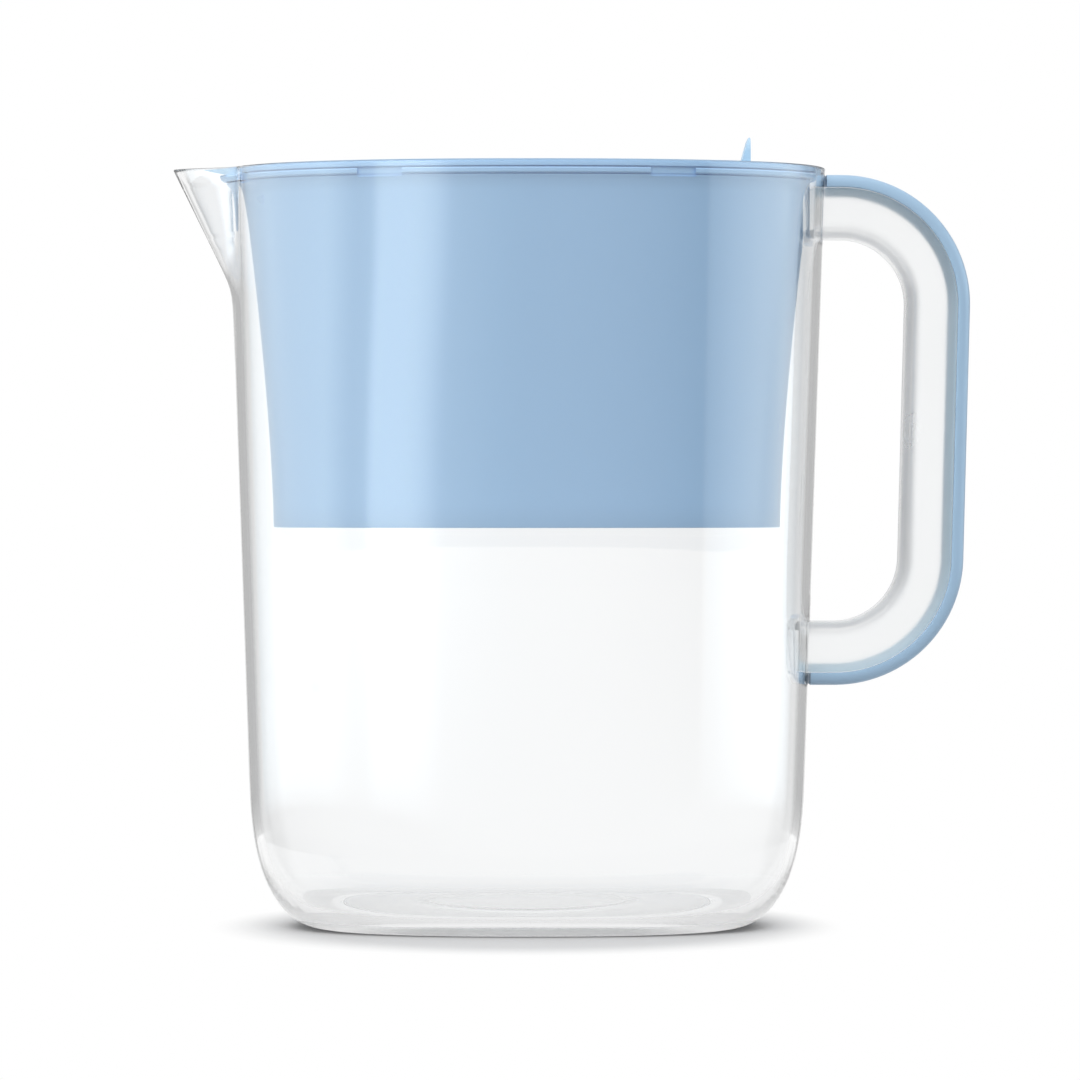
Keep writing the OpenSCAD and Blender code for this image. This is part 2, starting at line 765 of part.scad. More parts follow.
// Cup with a collar, a groove for the seal and a slotted base
module filter_housing() color([0.95, 0.96, 0.97])
    difference() {
        rotate_extrude()
            polygon([[0, filter_z], [filter_r - 2, filter_z], [filter_r, filter_z + 2],
                     [filter_r, seal_z], [groove_r, seal_z], [groove_r, seal_z + seal_h],
                     [filter_r, seal_z + seal_h], [filter_r, sleeve_top], [collar_r, sleeve_top],
                     [collar_r, sleeve_top + collar_t], [head_r, sleeve_top + collar_t],
                     [head_r, head_z], [bore_r, head_z], [bore_r, filter_z + base_t],
                     [0, filter_z + base_t]]);
        outlet_slots();
    }

// Rows of slots in the base, shorter towards the edge
module outlet_slots() {
    pitch = 6;
    slot_w = 2.4;
    reach = bore_r - 4;
    for (k = [-(outlet_rows - 1) / 2:(outlet_rows - 1) / 2]) {
        len = 2 * sqrt(reach * reach - k * k * pitch * pitch);
        translate([k * pitch, 0, filter_z]) cube([slot_w, len, 4 * base_t], center = true);
    }
}

// Slotted dome with a grip fin
module filter_cap() color([0.66, 0.80, 0.91])
    union() {
        difference() {
            cap_dome();
            for (k = [0:cap_slots - 1])
                rotate(k * 360 / cap_slots + 180 / cap_slots)
                    translate([15, -1.6, head_z + 1]) cube([bore_r - 15 - 0.6, 3.2, 2 * cap_rise]);
        }
        grip_fin();
    }

module cap_dome() {
    out_r = head_r + cap_t;
    top = head_z + cap_rise;
    rotate_extrude()
        polygon([[out_r, head_z - cap_skirt_h], [out_r, head_z + 2.5], [bore_r, top - 2.6],
                 [12, top], [0, top], [0, top - 2.2], [11.6, top - 2.2],
                 [bore_r - 1.6, top - 4.8], [bore_r - 1.6, head_z], [head_r, head_z],
                 [head_r, head_z - cap_skirt_h]]);
}

module grip_fin() {
    top = head_z + cap_rise;
    translate([-fin_w / 2, -fin_t / 2, top - 1]) cube([fin_w, fin_t, fin_h + 1]);
    translate([0, 0, top + fin_h])
        rotate([0, 90, 0]) cylinder(h = fin_w, r = fin_bead_r, center = true);
}

// Ring with a flat inner face and a round outer face
module filter_seal() color([0.35, 0.38, 0.42])
    rotate_extrude()
        union() {
            translate([groove_r, seal_z])
                square([sleeve_r - seal_gap - seal_h / 2 - groove_r, seal_h]);
            translate([sleeve_r - seal_gap - seal_h / 2, seal_z + seal_h / 2]) circle(seal_h / 2);
        }

// Bed of granules between the two screens
module filter_media() color([0.20, 0.20, 0.21])
    translate([0, 0, filter_z + base_t + screen_t])
        cylinder(h = head_z - filter_z - base_t - 2 * screen_t, r = bore_r);

module filter_top_screen() color([0.88, 0.90, 0.92])
    translate([0, 0, head_z - screen_t]) cylinder(h = screen_t, r = bore_r);

module filter_bottom_screen() color([0.88, 0.90, 0.92])
    translate([0, 0, filter_z + base_t]) cylinder(h = screen_t, r = bore_r);

pitcher_body();
handle_shell();
handle_grip();
reservoir();
lid_frame();
flip_door();
hinge_rod();
filter_housing();
filter_cap();
filter_seal();
filter_media();
filter_top_screen();
filter_bottom_screen();
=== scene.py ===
"""Looks of the water filter pitcher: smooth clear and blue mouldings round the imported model, in metres."""

import math

import bpy
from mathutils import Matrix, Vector


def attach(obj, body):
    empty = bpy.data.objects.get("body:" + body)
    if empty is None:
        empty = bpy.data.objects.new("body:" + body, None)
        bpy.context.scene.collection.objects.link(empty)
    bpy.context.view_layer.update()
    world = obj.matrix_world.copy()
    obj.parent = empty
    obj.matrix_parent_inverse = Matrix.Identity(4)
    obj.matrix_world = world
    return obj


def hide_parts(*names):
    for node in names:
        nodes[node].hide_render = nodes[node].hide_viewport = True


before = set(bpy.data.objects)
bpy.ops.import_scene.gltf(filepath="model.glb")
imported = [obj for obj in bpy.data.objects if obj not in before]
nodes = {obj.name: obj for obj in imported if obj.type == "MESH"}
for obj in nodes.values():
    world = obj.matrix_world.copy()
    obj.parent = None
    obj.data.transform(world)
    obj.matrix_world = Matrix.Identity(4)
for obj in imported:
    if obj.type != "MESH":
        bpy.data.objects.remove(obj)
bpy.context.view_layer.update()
MM = 0.001


def linked(name, data):
    """A new object of the scene that holds data."""
    obj = bpy.data.objects.new(name, data)
    bpy.context.scene.collection.objects.link(obj)
    return obj


def aim(obj, place, target):
    """Puts a camera or a lamp at a place and turns it to a target."""
    obj.location = place
    obj.rotation_euler = (Vector(target) - Vector(place)).to_track_quat("-Z", "Y").to_euler()


# ---------------------------------------------------------------- camera
FRAME_PX = 1080
PX_MM = 0.336  # size of a pixel on the object's middle plane
CAMERA_X = 0.0044
CAMERA_Y = -2.04
CAMERA_Z = 0.1431
AIM_Z = 0.1297
SENSOR_MM = 36
CLIP = (0.05, 60)


def make_camera():
    data = bpy.data.cameras.new("camera")
    data.sensor_width = SENSOR_MM
    data.lens = SENSOR_MM * -CAMERA_Y / (FRAME_PX * PX_MM * MM)
    data.clip_start, data.clip_end = CLIP
    camera = linked("camera", data)
    aim(camera, (CAMERA_X, CAMERA_Y, CAMERA_Z), (CAMERA_X, 0, AIM_Z))
    bpy.context.scene.camera = camera


make_camera()

# ---------------------------------------------------------------- dimensions, in millimetres
# Clear body; length and width are those of its plan at the foot
RIM_Z = 254
RIM_R = 0.6
BODY_LEN = 183.1
BODY_W = 124
SLOPE = math.tan(math.radians(1.93))
PLAN_POWER = 2.4  # power of the plan's oval; 2 is an ellipse
SPOUT_POWER = 2.2  # power of the spout's end at the rim
WALL_T = 2.6
END_ROUND_H = 50
END_ROUND_IN = 25
SIDE_ROUND_H = 28
SIDE_ROUND_IN = 11
ROUND_POWER = 2.5
FOOT_W = 5
FOOT_H = 1.6
FLOOR_T = 3
DISC_R = 34
DISC_H = 0.8

# Spout
SPOUT_REACH = 18.7
SPOUT_Z = 213.5
SPOUT_HALF_W = 22
SPOUT_SOFT = 4
SPOUT_WALL = 0.75  # how much narrower the spout is inside, in walls on each side

# Handle; its x are those of the middles of the two bends, and its radius is that of the outer face
HANDLE_TOP = 251.8
HANDLE_BOTTOM = 81.3
HANDLE_R = 43
HANDLE_TOP_X = 105.2
HANDLE_BOTTOM_X = 103
HANDLE_W = 25
HANDLE_D = 21.2
GRIP_T = 4.2
CHANNEL_T = 3
SOCKET_D = 3.6
SOCKET_T = 2.2
SOCKET_PLAY = 0.05

# Reservoir and lid
SKIRT_Z = 134
RES_LEN = 170
RES_FLARE = 10.3
RES_T = 2.2
FUNNEL_Z = 183
FUNNEL_LOW_Z = 175.5
FUNNEL_R = 34
FLOOR_SKIN = 2.4
FLANGE_T = 1.8
RIM_GAP = 0.5
DENT_X = 92.7  # furthest x of the wall beside the handle's socket
LID_T = 2.4
SLEEVE_R = 29.45

SPOUT_SLOPE = SPOUT_REACH / (RIM_Z - SPOUT_Z)
FLOOR_Z = FOOT_H + FLOOR_T
LID_TOP = RIM_Z - 0.2
FLANGE_TOP = LID_TOP - LID_T
FLANGE_Z = FLANGE_TOP - FLANGE_T
BLOCK_HALF_W = HANDLE_W / 2 + SOCKET_T
POCKET_HALF_W = HANDLE_W / 2 + SOCKET_PLAY
DENT_HALF_W = BLOCK_HALF_W + 2.5
DENT_FADE_W = DENT_HALF_W + 7


def half_len(z):
    return BODY_LEN / 2 + z * SLOPE


def half_wid(z):
    return BODY_W / 2 + z * SLOPE


def spout_end(z):
    """Power of the oval's spout end at height z."""
    return PLAN_POWER + (SPOUT_POWER - PLAN_POWER) * ease(z, SKIRT_Z, RIM_Z)


def curve_in(z, z0, h, depth):
    """How far a rounded bottom that starts at z0 and is h high has come in at height z."""
    u = min(1 - (z - z0) / h, 1)
    return 0 if u <= 0 else depth * (1 - (1 - u**ROUND_POWER) ** (1 / ROUND_POWER))


def curve_zs(z0, h, n):
    """Heights of n + 1 rings on such a bottom."""
    return [z0 + h * (1 - math.cos(math.pi / 2 * k / n) ** (2 / ROUND_POWER)) for k in range(n + 1)]


def spout_out(z):
    """How far the spout's middle stands out of the oval; next to nothing well below its start."""
    t = z - SPOUT_Z
    if t < -6 * SPOUT_SOFT:
        return 0
    return SPOUT_SLOPE * (t + math.hypot(t, SPOUT_SOFT)) / 2


def bell(y, half_w):
    return 0 if abs(y) >= half_w else math.cos(math.pi / 2 * y / half_w) ** 2


def ease(x, a, b):
    """0 before a, 1 after b, and a soft step between them."""
    t = min(max((x - a) / (b - a), 0), 1)
    return (1 - math.cos(math.pi * t)) / 2


# ---------------------------------------------------------------- mesh helpers
ROUND_N = 30  # points on each quarter of an oval beyond NEAR_YS
LINE = 0.05  # half of the space between the two lines of points on each side of a sharp step
SHARP = math.radians(32)


def paired(places):
    """One place just before and one just after each of the places, for a sharp step there."""
    return [place + d for place in places for d in (-LINE, LINE)]


# Distances from the axis at which every plan has a point
NEAR_YS = [0, 0.9, 1.8, 2.8, 3.8, 5, 6.3, 7.6, 9, 10.6, 13.6, 16, 17.2, 18.4, 19.6, 20.8, 22, 23.2, 24.4]
NEAR_YS = sorted(NEAR_YS + paired((POCKET_HALF_W, BLOCK_HALF_W)))


def quarter(a, b, power):
    """A quarter of an oval, from its end on the x axis to its side on the y axis."""
    points = [(a * (1 - (y / b) ** power) ** (1 / power), y) for y in NEAR_YS]
    start = math.asin((NEAR_YS[-1] / b) ** (power / 2))
    angles = [start + (math.pi / 2 - start) * k / ROUND_N for k in range(1, ROUND_N)]
    side = [(a * math.cos(t) ** (2 / power), b * math.sin(t) ** (2 / power)) for t in angles]
    return [*points, *side, (0, b)]


def plan(a, b, spout_power=PLAN_POWER):
    """Oval of half length a and half width b, anticlockwise from the handle end."""
    handle = quarter(a, b, PLAN_POWER)
    spout = quarter(a, b, spout_power)
    return (
        handle
        + [(-x, y) for x, y in spout[-2::-1]]
        + [(-x, -y) for x, y in spout[1:]]
        + [(x, -y) for x, y in handle[-2:0:-1]]
    )


def shaped(points, nose=0, dent=0, half_w=SPOUT_HALF_W):
    """The plan with its spout end pushed out and its handle end pushed in."""
    return [
        (x - nose * bell(y, half_w), y)
        if x < 0
        else (x - dent * (1 - ease(abs(y), DENT_HALF_W, DENT_FADE_W)), y)
        for x, y in points
    ]


def flattened(points, x, half_w):
    """The plan with its handle end cut back to x, half_w to each side of the axis."""
    return [(min(px, x), y) if px > 0 and abs(y) < half_w else (px, y) for px, y in points]


def at_z(points, z):
    return [(x, y, z) for x, y in points]


def circle_like(points, r):
    """The points moved in or out to a circle."""
    return [(r * x / math.hypot(x, y), r * y / math.hypot(x, y)) for x, y in points]


def neighbour(points, i, step):
    """The next point of the ring that isn't the other line of a pair."""
    j = i + step
    while math.dist(points[i], points[j % len(points)]) < 4 * LINE:
        j += step
    return points[j % len(points)]


def grow(points, out):
    """The ring moved outwards in its own plane by out."""
    moved = []
    for i, (x, y) in enumerate(points):
        (x0, y0), (x1, y1) = neighbour(points, i, -1), neighbour(points, i, 1)
        length = math.hypot(x1 - x0, y1 - y0)
        moved.append((x + out * (y1 - y0) / length, y - out * (x1 - x0) / length))
    return moved


def loft(rings, ends="fan"):
    """Vertices and faces of a skin through rings; its ends are fans, faces or strips, or are joined."""
    n = len(rings[0])
    m = len(rings)
    verts = [p for ring in rings for p in ring]
    faces = []
    for k in range(m if ends == "joined" else m - 1):
        for i in range(n):
            j = (i + 1) % n
            low, high = k * n, (k + 1) % m * n
            faces.append((low + i, low + j, high + j, high + i))
    last = (m - 1) * n
    if ends == "fan":
        for ring, start, turn in ((rings[0], 0, -1), (rings[-1], last, 1)):
            middle = len(verts)
            verts.append((0, 0, ring[0][2]))
            for i in range(n):
                pair = (start + i, start + (i + 1) % n)
                faces.append((*pair[::turn], middle))
    elif ends == "face":
        faces.append(tuple(range(n))[::-1])
        faces.append(tuple(range(last, last + n)))
    elif ends == "strip":
        for i in range(n // 2 - 1):
            quad = (i, i + 1, n - 2 - i, n - 1 - i)
            faces.append(quad[::-1])
            faces.append(tuple(last + k for k in quad))
    return verts, faces


def joined(*parts):
    """One list of vertices and one of faces from several meshes."""
    verts, faces = [], []
    for v, f in parts:
        start = len(verts)
        verts += v
        faces += [tuple(start + i for i in face) for face in f]
    return verts, faces


def turned(profile, n=96):
    """A closed profile of (radius, z) points, turned round the axis."""
    rings = []
    for k in range(n):
        a = 2 * math.pi * k / n
        rings.append([(r * math.cos(a), r * math.sin(a), z) for r, z in profile])
    return loft(rings, "joined")


def mesh_object(name, mesh):
    """An object from vertices in millimetres and faces."""
    verts, faces = mesh
    data = bpy.data.meshes.new(name)
    data.from_pydata([(x * MM, y * MM, z * MM) for x, y, z in verts], [], faces)
    data.update()
    return linked(name, data)


def piece(name, mesh, body, stands_for, mat):
    """A smooth-shaded piece that rides on a body; it may replace a node."""
    obj = mesh_object(name, mesh)
    obj.data.polygons.foreach_set("use_smooth", [True] * len(obj.data.polygons))
    obj.data.set_sharp_from_angle(angle=SHARP)
    obj.data.materials.append(mat)
    if stands_for:
        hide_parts(stands_for)
    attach(obj, body)
    return obj


# ---------------------------------------------------------------- node helpers
def material(name):
    mat = bpy.data.materials.new(name)
    mat.use_nodes = True
    return mat, mat.node_tree, mat.node_tree.nodes["Principled BSDF"]


def places(tree, output="Object"):
    return tree.nodes.new("ShaderNodeTexCoord").outputs[output]


def axes(tree, vector):
    """The vector's x, y and z."""
    node = tree.nodes.new("ShaderNodeSeparateXYZ")
    tree.links.new(vector, node.inputs["Vector"])
    return [node.outputs[name] for name in "XYZ"]


def ranged(tree, source, low, high, start=0, end=1, curve="LINEAR"):
    """Low where the source is start or before it, high where it is end or beyond."""
    node = tree.nodes.new("ShaderNodeMapRange")
    node.interpolation_type = curve
    node.inputs["From Min"].default_value = start
    node.inputs["From Max"].default_value = end
    node.inputs["To Min"].default_value = low
    node.inputs["To Max"].default_value = high
    tree.links.new(source, node.inputs["Value"])
    return node.outputs["Result"]


def maths(tree, operation, *values):
    """A Math node over numbers and sockets."""
    node = tree.nodes.new("ShaderNodeMath")
    node.operation = operation
    for socket, value in zip(node.inputs, values):
        if isinstance(value, (int, float)):
            socket.default_value = value
        else:
            tree.links.new(value, socket)
    return node.outputs["Value"]


def noise(tree, scale, detail=2):
    node = tree.nodes.new("ShaderNodeTexNoise")
    node.inputs["Scale"].default_value = scale
    node.inputs["Detail"].default_value = detail
    tree.links.new(places(tree), node.inputs["Vector"])
    return node.outputs["Fac"]


def blend(tree, factor, a, b, way="MIX"):
    """Colour a where factor is 0 and b, or their product, where it is 1."""
    node = tree.nodes.new("ShaderNodeMix")
    node.data_type = "RGBA"
    node.blend_type = way
    node.clamp_factor = True
    tree.links.new(factor, node.inputs["Factor"])
    for socket, value in ((node.inputs["A"], a), (node.inputs["B"], b)):
        if isinstance(value, tuple):
            socket.default_value = (*value, 1)
        else:
            tree.links.new(value, socket)
    return node.outputs["Result"]


def bump(tree, shader, height, distance, strength=1, invert=False):
    node = tree.nodes.new("ShaderNodeBump")
    node.invert = invert
    node.inputs["Strength"].default_value = strength
    node.inputs["Distance"].default_value = distance
    tree.links.new(height, node.inputs["Height"])
    tree.links.new(node.outputs["Normal"], shader.inputs["Normal"])


def shiny_ray(tree, path):
    """1 for a ray that gloss or glass sends out."""
    return maths(tree, "MAXIMUM", path.outputs["Is Glossy Ray"], path.outputs["Is Transmission Ray"])


def surface(tree, factor, usual, other):
    """Ends a material with one shader where factor is 0 and another where it is 1."""
    mix = tree.nodes.new("ShaderNodeMixShader")
    tree.links.new(factor, mix.inputs["Fac"])
    tree.links.new(usual, mix.inputs[1])
    tree.links.new(other, mix.inputs[2])
    tree.links.new(mix.outputs["Shader"], tree.nodes["Material Output"].inputs["Surface"])


# ---------------------------------------------------------------- materials
CLEAR_COLOUR = (0.985, 0.99, 0.992)
CLEAR_SHADE = (0.86, 0.87, 0.875)  # what a clear piece leaves of a lamp's light
TRAPPED_AFTER = 14  # bounces after which light leaves the wall that holds it
# Frosted zones: a height, how far above it the frost has faded, and its roughness
FROST = ((3.1, 0.6, 0.4), (RIM_Z - 0.5, -0.5, 0.3))
FOOT_SHADE = (0.3, 0.87)  # shade at the foot and above it
FOOT_SHADE_Z = (2, 7)
CLEAR_GLOSS_SCALE = 30
CLEAR_GLOSS_SPREAD = (0.7, 1.3)


def clear_plastic(name, ior, rough, is_body=False):
    """Clear, and lamps and diffuse light pass it; the body's is frosted under its foot and on its rim."""
    mat, tree, shader = material(name)
    shader.inputs["Base Color"].default_value = (*CLEAR_COLOUR, 1)
    shader.inputs["Transmission Weight"].default_value = 1
    shader.inputs["IOR"].default_value = ior
    gloss = ranged(tree, noise(tree, CLEAR_GLOSS_SCALE), *[rough * r for r in CLEAR_GLOSS_SPREAD])
    through = tree.nodes.new("ShaderNodeBsdfTransparent")
    through.inputs["Color"].default_value = (*CLEAR_SHADE, 1)
    if is_body:
        height = axes(tree, places(tree))[2]
        for z, away, most in FROST:
            gloss = maths(tree, "MAXIMUM", gloss, ranged(tree, height, most, 0, z * MM, (z + away) * MM))
        foot = ranged(tree, height, *FOOT_SHADE, *[z * MM for z in FOOT_SHADE_Z])
        tree.links.new(foot, through.inputs["Color"])
    tree.links.new(gloss, shader.inputs["Roughness"])
    path = tree.nodes.new("ShaderNodeLightPath")
    trapped = maths(tree, "GREATER_THAN", path.outputs["Ray Depth"], TRAPPED_AFTER)
    loose = maths(tree, "MAXIMUM", path.outputs["Is Diffuse Ray"], trapped)
    passes = maths(tree, "MAXIMUM", path.outputs["Is Shadow Ray"], loose)
    surface(tree, passes, shader.outputs["BSDF"], through.outputs["BSDF"])
    return mat


PLASTIC_IOR = 1.49
GRAIN = 0.012  # share by which a plastic's colour varies
GRAIN_SCALE = 14
GLOSS_SCALE = 60
GLOSS_SPREAD = (0.96, 1.04)
PORE_SCALE = 900
PORE_DEPTH = 0.01
PORE_STRENGTH = 0.3


def plastic(name, colour, rough, shine=0.5, shine_colour=(1, 1, 1)):
    """Opaque moulded plastic with a little grain in its colour, gloss and surface."""
    mat, tree, shader = material(name)
    dark = tuple(c * (1 - GRAIN) for c in colour)
    pale = tuple(min(c * (1 + GRAIN), 1) for c in colour)
    tree.links.new(blend(tree, noise(tree, GRAIN_SCALE, 3), dark, pale), shader.inputs["Base Color"])
    gloss = ranged(tree, noise(tree, GLOSS_SCALE), *[rough * r for r in GLOSS_SPREAD])
    tree.links.new(gloss, shader.inputs["Roughness"])
    shader.inputs["IOR"].default_value = PLASTIC_IOR
    shader.inputs["Specular IOR Level"].default_value = shine
    shader.inputs["Specular Tint"].default_value = (*shine_colour, 1)
    bump(tree, shader, noise(tree, PORE_SCALE), PORE_DEPTH * MM, PORE_STRENGTH)
    return mat


STEEL = (0.62, 0.63, 0.64)
STEEL_ROUGH = (0.22, 0.34)
STEEL_SCALE = 400


def steel():
    """Plain drawn steel."""
    mat, tree, shader = material("rod_steel")
    shader.inputs["Base Color"].default_value = (*STEEL, 1)
    shader.inputs["Metallic"].default_value = 1
    tree.links.new(ranged(tree, noise(tree, STEEL_SCALE), *STEEL_ROUGH), shader.inputs["Roughness"])
    return mat


CARBON = (0.02, 0.02, 0.022)
RESIN = (0.62, 0.52, 0.34)
CARBON_SHARE = 0.62
GRANULE_SCALE = 900
GRANULE_ROUGH = (0.45, 0.8)
GRANULE_DEPTH = 0.6


def granules():
    """Dark carbon grains with pale resin beads among them."""
    mat, tree, shader = material("filter_granules")
    cells = tree.nodes.new("ShaderNodeTexVoronoi")
    cells.inputs["Scale"].default_value = GRANULE_SCALE
    tree.links.new(places(tree), cells.inputs["Vector"])
    pick = tree.nodes.new("ShaderNodeSeparateColor")
    tree.links.new(cells.outputs["Color"], pick.inputs["Color"])
    ramp = tree.nodes.new("ShaderNodeValToRGB")
    ramp.color_ramp.interpolation = "CONSTANT"
    carbon, resin = ramp.color_ramp.elements
    carbon.color = (*CARBON, 1)
    resin.position = CARBON_SHARE
    resin.color = (*RESIN, 1)
    tree.links.new(pick.outputs["Red"], ramp.inputs["Fac"])
    tree.links.new(ramp.outputs["Color"], shader.inputs["Base Color"])
    tree.links.new(ranged(tree, pick.outputs["Green"], *GRANULE_ROUGH), shader.inputs["Roughness"])
    bump(tree, shader, cells.outputs["Distance"], GRANULE_DEPTH * MM, invert=True)
    return mat


THREAD = (0.80, 0.81, 0.82)
THREAD_GAP = (0.10, 0.10, 0.10)
THREAD_ROUGH = (0.5, 0.8)
THREAD_SCALE = 320


def mesh_cloth():
    """Fine woven screen: two crossed sets of threads."""
    mat, tree, shader = material("screen_mesh")
    waves = []
    for direction in "XY":
        wave = tree.nodes.new("ShaderNodeTexWave")
        wave.bands_direction = direction
        wave.inputs["Scale"].default_value = THREAD_SCALE
        tree.links.new(places(tree), wave.inputs["Vector"])
        waves.append(wave.outputs["Fac"])
    threads = maths(tree, "MAXIMUM", *waves)
    tree.links.new(blend(tree, threads, THREAD_GAP, THREAD), shader.inputs["Base Color"])
    tree.links.new(ranged(tree, threads, *THREAD_ROUGH), shader.inputs["Roughness"])
    return mat


clear = clear_plastic("clear_plastic", 1.5, 0.02, is_body=True)
clear_handle = clear_plastic("clear_plastic_handle", 1.27, 0.3)
reservoir_blue = plastic("blue_plastic", (0.335, 0.572, 0.865), 0.28, 1, (0.78, 0.9, 1))
lid_blue = plastic("lid_plastic", (0.42, 0.60, 0.76), 0.32)
grip_blue = plastic("grip_plastic", (0.33, 0.485, 0.65), 0.38)
# The ridge belongs to the blue grip but is drawn far paler: painted light, so it looks lit where it shows
# through the clear channel
ridge_painted_light = plastic("grip_ridge_painted_light", (0.74, 0.9, 1.0), 0.5)
filter_white = plastic("filter_plastic", (0.82, 0.83, 0.84), 0.42)
cap_blue = plastic("filter_cap_plastic", (0.36, 0.53, 0.70), 0.38)
seal_grey = plastic("seal_rubber", (0.10, 0.11, 0.12), 0.6)
screen_cloth = mesh_cloth()


# ---------------------------------------------------------------- clear body
SOCKET_TOP_X = half_len(HANDLE_TOP - HANDLE_D / 2) - SOCKET_D
SOCKET_LOW_X = half_len(HANDLE_BOTTOM + HANDLE_D / 2) - SOCKET_D
BLOCK_CUT = 4
BLOCK_R = 4
# Pocket in the outer face: x of its floor, and its lower and upper edge
POCKETS = (
    (SOCKET_TOP_X, HANDLE_TOP - HANDLE_D - SOCKET_PLAY, HANDLE_TOP - GRIP_T + SOCKET_PLAY),
    (SOCKET_LOW_X, HANDLE_BOTTOM + GRIP_T - SOCKET_PLAY, HANDLE_BOTTOM + HANDLE_D + SOCKET_PLAY),
)
# Block on the inner face: x, the height of its flat edge and of its rounded edge, and the flat edge's cut
BLOCKS = (
    (SOCKET_TOP_X - SOCKET_T, FLANGE_Z, HANDLE_TOP - HANDLE_D - SOCKET_T, 0),
    (SOCKET_LOW_X - SOCKET_T, HANDLE_BOTTOM - 0.4, HANDLE_BOTTOM + HANDLE_D + SOCKET_T, BLOCK_CUT),
)

# Rings of points
CURVE_N = 20  # on the rounded bottom
BLOCK_N = 8  # on a block's rounded edge
RIM_ANGLES = (18, 36, 54, 72, 90)  # on the rim's two rounded edges, in degrees
PLAIN_ZS = (60, 72, 94, 112, 124, 140, 156, 172)
SPOUT_ZS = (188, 192, 196, 199.5, 203, 206, 208.5, 211, 213.5, 216, 218.5, 221, 224, 227, 233, 238.5, 244)
# Underside from its middle: radius and height
UNDERSIDE = (
    (8, 3), (20, 3), (31, 3), (32.6, 2.85), (33.8, 2.5), (34.8, 2.1), (36, 1.75),
    (37.6, FOOT_H), (41, FOOT_H),
)
# Foot ring's inner edge: distance further in, and height
FOOT_EDGE = ((2, FOOT_H), (0.3, FOOT_H), (0, 1.3), (-0.3, 0.3), (-0.8, 0))
FOOT_OUTER = 1.5  # width of the rounding between the foot ring's flat and the wall
FLOOR_INSETS = (2, 8)
# Raised disc on the floor: distance outside its edge, and height
DISC_STEP = (
    (4, 0), (2.4, 0), (1.7, 0.1), (0.9, 0.3), (0.2, 0.55), (-0.6, 0.74),
    (-1.8, DISC_H), (-12, DISC_H), (-26, DISC_H),
)


def body_plan(z, inner):
    """Plan of the outer or the inner wall at height z."""
    t = WALL_T if inner else 0
    z0 = FLOOR_Z if inner else 0
    in_x = curve_in(z, z0, END_ROUND_H - z0, END_ROUND_IN - t)
    in_y = curve_in(z, z0, SIDE_ROUND_H - z0, SIDE_ROUND_IN)
    points = plan(half_len(z) - t - in_x, half_wid(z) - t - in_y, spout_end(z))
    return shaped(points, spout_out(z), 0, SPOUT_HALF_W - SPOUT_WALL * t)


def outer_ring(z):
    ring = body_plan(z, False)
    for x, low, high in POCKETS:
        if low < z < high:
            ring = flattened(ring, x, POCKET_HALF_W)
    return at_z(ring, z)


def inner_ring(z):
    ring = body_plan(z, True)
    for x, flat_z, round_z, cut in BLOCKS:
        if min(flat_z, round_z) < z < max(flat_z, round_z):
            from_round = BLOCK_R - min(abs(z - round_z), BLOCK_R)
            rounded = BLOCK_R - math.sqrt(BLOCK_R**2 - from_round**2)
            ring = flattened(ring, x + max(rounded, cut - abs(z - flat_z)), BLOCK_HALF_W)
    return at_z(ring, z)


def rim_rings(inner):
    """Rings round the rim's outer or inner edge, from the wall up to the top."""
    rings = []
    for angle in RIM_ANGLES:
        a = math.radians(angle)
        z = RIM_Z - RIM_R + RIM_R * math.sin(a)
        inset = RIM_R * (1 - math.cos(a))
        rings.append(at_z(grow(body_plan(z, inner), inset if inner else -inset), z))
    return rings


def body_mesh():
    pocket_zs = paired(z for _, low, high in POCKETS for z in (low, high))
    block_zs = paired(z for _, flat_z, round_z, _ in BLOCKS for z in (flat_z, round_z))
    for _, flat_z, round_z, cut in BLOCKS:
        inward = math.copysign(BLOCK_R, flat_z - round_z)
        turns = [math.pi / 2 * k / BLOCK_N for k in range(1, BLOCK_N + 1)]
        block_zs += [round_z + inward * (1 - math.cos(turn)) for turn in turns]
        if cut:
            block_zs.append(flat_z + cut)
    shared_zs = [*PLAIN_ZS, *SPOUT_ZS, RIM_Z - RIM_R]
    outer_zs = sorted([*curve_zs(0, END_ROUND_H, CURVE_N), *pocket_zs, *shared_zs])
    inner_zs = sorted([*curve_zs(FLOOR_Z, END_ROUND_H - FLOOR_Z, CURVE_N), *block_zs, *shared_zs])

    foot_plan = body_plan(0, False)
    rings = [at_z(circle_like(foot_plan, r), z) for r, z in UNDERSIDE]
    rings += [at_z(grow(foot_plan, -FOOT_W - d), z) for d, z in FOOT_EDGE]
    rings += [at_z(grow(foot_plan, -FOOT_OUTER), 0)]
    rings += [outer_ring(z) for z in outer_zs] + rim_rings(False)
    rings += rim_rings(True)[::-1] + [inner_ring(z) for z in reversed(inner_zs)]
    floor_plan = body_plan(FLOOR_Z, True)
    rings += [at_z(grow(floor_plan, -d), FLOOR_Z) for d in FLOOR_INSETS]
    rings += [at_z(circle_like(floor_plan, DISC_R + d), FLOOR_Z + h) for d, h in DISC_STEP]
    return loft(rings)


piece("clear_body", body_mesh(), "pitcher", "pitcher_body", clear)


# ---------------------------------------------------------------- handle
BEND_N = 28
BEND_TOP_Z = HANDLE_TOP - HANDLE_R
BEND_LOW_Z = HANDLE_BOTTOM + HANDLE_R
BEND_LEAD = 0.5  # from the end of a bend to the next section
LEAN = math.degrees(math.atan((HANDLE_TOP_X - HANDLE_BOTTOM_X) / (BEND_TOP_Z - BEND_LOW_Z)))


